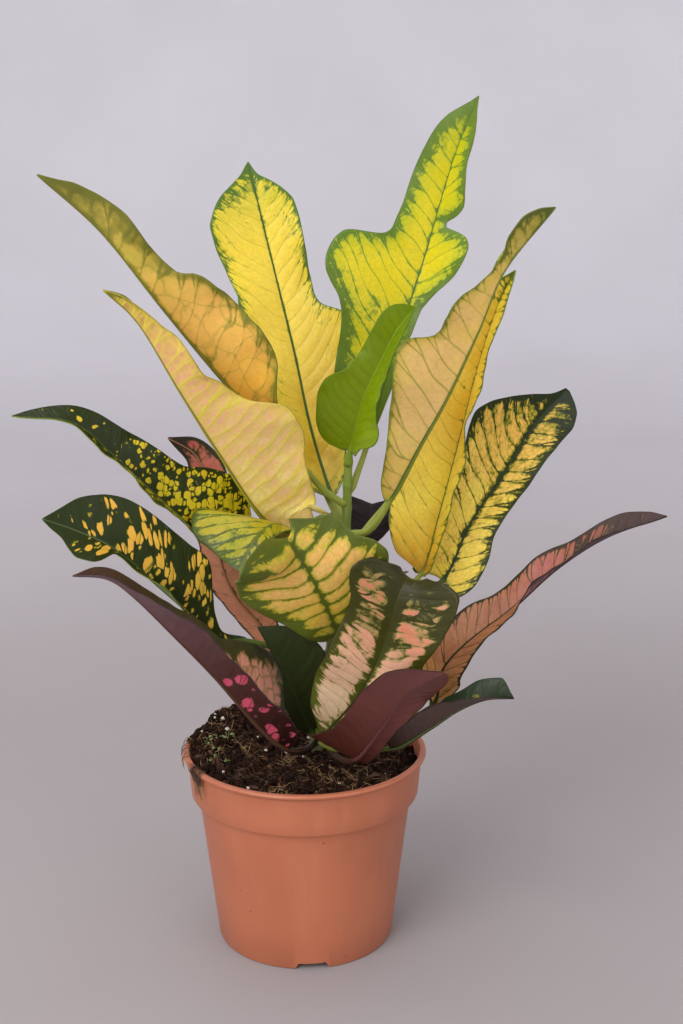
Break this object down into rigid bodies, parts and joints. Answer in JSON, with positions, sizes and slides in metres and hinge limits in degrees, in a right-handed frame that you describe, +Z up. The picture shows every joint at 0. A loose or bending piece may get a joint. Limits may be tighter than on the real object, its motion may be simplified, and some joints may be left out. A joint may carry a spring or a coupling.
{
  "type": "potted croton plant",
  "caption": "Young croton with broad lobed, variegated leaves on one leaning stem, growing in a tapered plastic nursery pot filled with compost.",
  "frame": {"origin": "centre of the underside of the pot's centre foot, on the plane that the pot stands on", "axes": "+Z up along the pot axis, -Y towards the front of the plant, +X to the right seen from the front"},
  "size_m": [0.3531, 0.2388, 0.4764],
  "materials": {
    "pot_plastic": "satin terracotta",
    "compost": "rough, crumbly",
    "stem_green": "satin, green",
    "leaf_yellow": "satin, leathery",
    "leaf_peach": "satin, leathery",
    "leaf_mixed": "satin, leathery",
    "leaf_green": "glossy, leathery",
    "leaf_maroon": "satin, leathery"
  },
  "bodies": {
    "root": {"pot": "pot_plastic", "soil": "compost", "stem": "stem_green", "leaf_young": "leaf_green", "leaf_crown_lobed": "leaf_yellow", "leaf_upper_left": "leaf_yellow", "leaf_left_long": "leaf_peach", "leaf_left_peach": "leaf_peach", "leaf_right_peach": "leaf_peach", "leaf_right_yellow": "leaf_yellow", "leaf_right_spotted": "leaf_yellow", "leaf_right_low": "leaf_mixed", "leaf_right_bottom": "leaf_maroon", "leaf_front_maroon": "leaf_maroon", "leaf_front_pink": "leaf_mixed", "leaf_front_green": "leaf_mixed", "leaf_front_folded": "leaf_mixed", "leaf_left_purple": "leaf_maroon", "leaf_left_spotted_low": "leaf_green", "leaf_left_spotted": "leaf_green", "leaf_rear_left": "leaf_peach", "leaf_low_green": "leaf_green", "leaf_back_dark": "leaf_maroon", "leaf_back_left_high": "leaf_yellow", "leaf_back_right_high": "leaf_yellow", "leaf_back_left_low": "leaf_green", "leaf_back_right_low": "leaf_maroon"}
  },
  "joints": []
}
